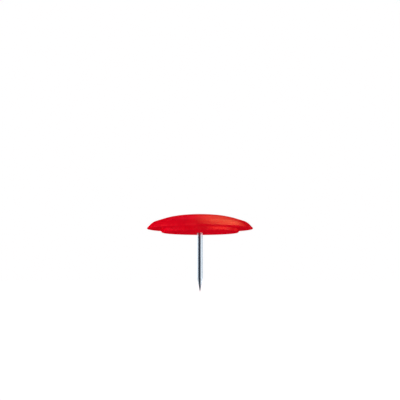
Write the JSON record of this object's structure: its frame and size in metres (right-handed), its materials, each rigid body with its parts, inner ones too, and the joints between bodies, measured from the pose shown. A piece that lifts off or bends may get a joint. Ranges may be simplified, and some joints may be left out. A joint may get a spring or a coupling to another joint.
{
  "type": "push pin",
  "caption": "Push pin with a wide low-domed red plastic head, a bevelled rim, a stepped base disc and a plated steel nail with a ground point.",
  "frame": {"origin": "on the nail's axis, at the underside of the base disc, which comes to rest on the board", "axes": "+Z along the nail's axis, out of the board through the crown of the dome; the point is towards -Z"},
  "size_m": [0.02, 0.02, 0.0144],
  "materials": {
    "head_plastic": "polished moulded red plastic",
    "plated_steel": "bright nickel plate over drawn wire, with a ground point"
  },
  "bodies": {
    "root": {"dome_cap": "head_plastic", "base_disc": "head_plastic", "steel_pin": "plated_steel"}
  },
  "joints": []
}
